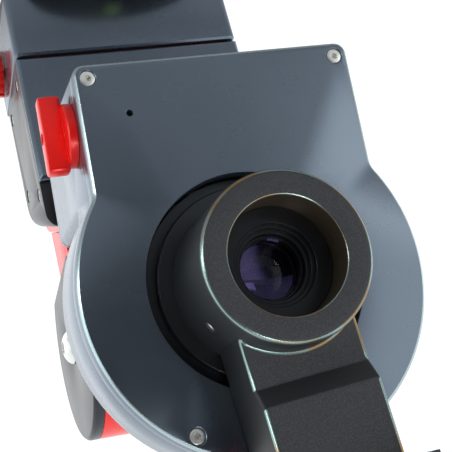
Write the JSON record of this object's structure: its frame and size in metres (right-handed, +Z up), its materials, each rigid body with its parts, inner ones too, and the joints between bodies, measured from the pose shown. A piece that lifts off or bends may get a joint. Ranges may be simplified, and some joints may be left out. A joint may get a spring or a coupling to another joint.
{
  "type": "star tracker mount",
  "caption": "Motor-driven polar-axis head with a keyhole-shaped front, polar scope and camera arm, carried in a red fork on a tripod base with azimuth and altitude adjusters.",
  "frame": {"origin": "centre of the tripod socket's mouth, on the underside of the foot and on the azimuth axis", "axes": "+Z up along the azimuth axis; the polar axis points to -Y and 12 degrees up at rest; X runs along the altitude axis"},
  "size_m": [0.1256, 0.2066, 0.3139],
  "materials": {
    "slate_anodised": "satin slate-black anodised",
    "black_anodised": "satin black anodised",
    "blasted_black": "bead-blasted matte black anodised",
    "red_anodised": "satin red anodised",
    "steel": "turned",
    "screw_steel": "bright stainless",
    "bronze": "turned bronze",
    "black_rubber": "matte",
    "black_plastic": "moulded matte",
    "level_body": "clear tinted acrylic",
    "circuit_board": "solder mask",
    "optical_glass": "coated optical glass"
  },
  "bodies": {
    "base": {"base_foot": "black_anodised", "tripod_bush": "bronze", "bubble_level": "level_body", "base_housing": "slate_anodised", "base_screws": "screw_steel", "azimuth_spindle": "steel", "azimuth_nut": "steel"},
    "azimuth_drive": {"azimuth_screw": "steel", "azimuth_knobs": "red_anodised"},
    "tower": {"azimuth_plate": "black_anodised", "yoke": "red_anodised", "front_panel": "slate_anodised", "rear_cover": "red_anodised", "rear_box": "black_anodised", "power_socket": "black_plastic", "side_covers": "black_anodised", "side_cover_screws": "screw_steel", "pivot_caps": "black_anodised", "pivot_bushes": "bronze"},
    "altitude_drive": {"altitude_worm": "steel", "altitude_knob": "red_anodised"},
    "head": {"front_cover": "slate_anodised", "casing_screws": "screw_steel", "head_housing": "slate_anodised", "box_lid": "slate_anodised", "bearing_housing": "black_anodised", "polar_bearings": "steel", "bearing_retainer": "black_anodised", "pivot_trunnions": "steel", "pivot_bolts": "screw_steel", "altitude_wheel": "bronze", "worm_bracket": "black_anodised", "worm_bearings": "steel", "ra_motor": "steel", "drive_belt": "black_rubber", "control_board": "circuit_board", "guide_port": "black_plastic"},
    "polar_axis": {"ra_shaft": "steel", "ra_worm_wheel": "bronze", "shaft_locknut": "black_anodised", "output_disc": "slate_anodised", "hub_arm": "blasted_black", "hub_set_screws": "screw_steel", "objective_cell": "black_anodised", "objective_lens": "optical_glass", "lens_retainer": "black_anodised", "polar_scope_tube": "black_anodised", "reticle": "optical_glass", "saddle_body": "blasted_black"},
    "worm": {"ra_worm": "steel", "worm_pulley": "steel"},
    "motor_rotor": {"motor_pulley": "steel"},
    "clutch": {"clutch_knob": "red_anodised", "clutch_stud": "steel"},
    "focuser": {"eyepiece": "black_anodised", "eyepiece_lens": "optical_glass", "eyecup": "black_rubber"},
    "saddle_jaw": {"saddle_jaw": "red_anodised"},
    "saddle_knob": {"saddle_knob": "red_anodised"},
    "power_button": {"power_button": "black_plastic"}
  },
  "joints": [
    {"name": "azimuth_turn", "type": "hinge", "parent": "base", "child": "tower", "pos_m": [0, 0, 0.044], "axis": [0, 0, 1], "range_deg": [-10, 10]},
    {"name": "azimuth_screw_turn", "type": "hinge", "parent": "base", "child": "azimuth_drive", "pos_m": [0, 0.016, 0.025], "axis": [1, 0, 0], "range_deg": [-1001, 1001]},
    {"name": "altitude_tilt", "type": "hinge", "parent": "tower", "child": "head", "pos_m": [0, -0.023, 0.181], "axis": [-1, 0, 0], "range_deg": [-12, 55]},
    {"name": "altitude_knob_turn", "type": "hinge", "parent": "tower", "child": "altitude_drive", "pos_m": [-0.0425, -0.023, 0.15695], "axis": [0, 1, 0], "range_deg": [-481, 2201]},
    {"name": "polar_turn", "type": "hinge", "parent": "head", "child": "polar_axis", "pos_m": [0, -0.11436, 0.20042], "axis": [0, -0.9781, 0.2079], "continuous": true},
    {"name": "worm_turn", "type": "hinge", "parent": "head", "child": "worm", "pos_m": [0, -0.10086, 0.15814], "axis": [1, 0, 0], "continuous": true},
    {"name": "motor_turn", "type": "hinge", "parent": "head", "child": "motor_rotor", "pos_m": [0, -0.08504, 0.12671], "axis": [1, 0, 0], "continuous": true},
    {"name": "clutch_turn", "type": "hinge", "parent": "head", "child": "clutch", "pos_m": [0.0516, -0.10948, 0.13344], "axis": [1, 0, 0], "range_deg": [0, 90]},
    {"name": "focus_turn", "type": "hinge", "parent": "polar_axis", "child": "focuser", "pos_m": [0, 0.00791, 0.17443], "axis": [0, -0.9781, 0.2079], "range_deg": [-180, 180]},
    {"name": "saddle_knob_turn", "type": "hinge", "parent": "polar_axis", "child": "saddle_knob", "pos_m": [0.02541, -0.13199, 0.29736], "axis": [0.9945, 0.0217, 0.1022], "range_deg": [0, 1080]},
    {"name": "saddle_jaw_slide", "type": "slide", "parent": "polar_axis", "child": "saddle_jaw", "axis": [0.9945, 0.0217, 0.1022], "range_m": [0, 0.003]},
    {"name": "power_button_press", "type": "slide", "parent": "head", "child": "power_button", "axis": [1, 0, 0], "range_m": [0, 0.001], "stiffness_N_per_m": 300, "springref_m": -0.001}
  ],
  "couplings": [
    {"joint": "azimuth_screw_turn", "follows": "azimuth_turn", "ratio": 100},
    {"joint": "altitude_knob_turn", "follows": "altitude_tilt", "ratio": 40},
    {"joint": "worm_turn", "follows": "polar_turn", "ratio": 100},
    {"joint": "motor_turn", "follows": "polar_turn", "ratio": 100}
  ]
}
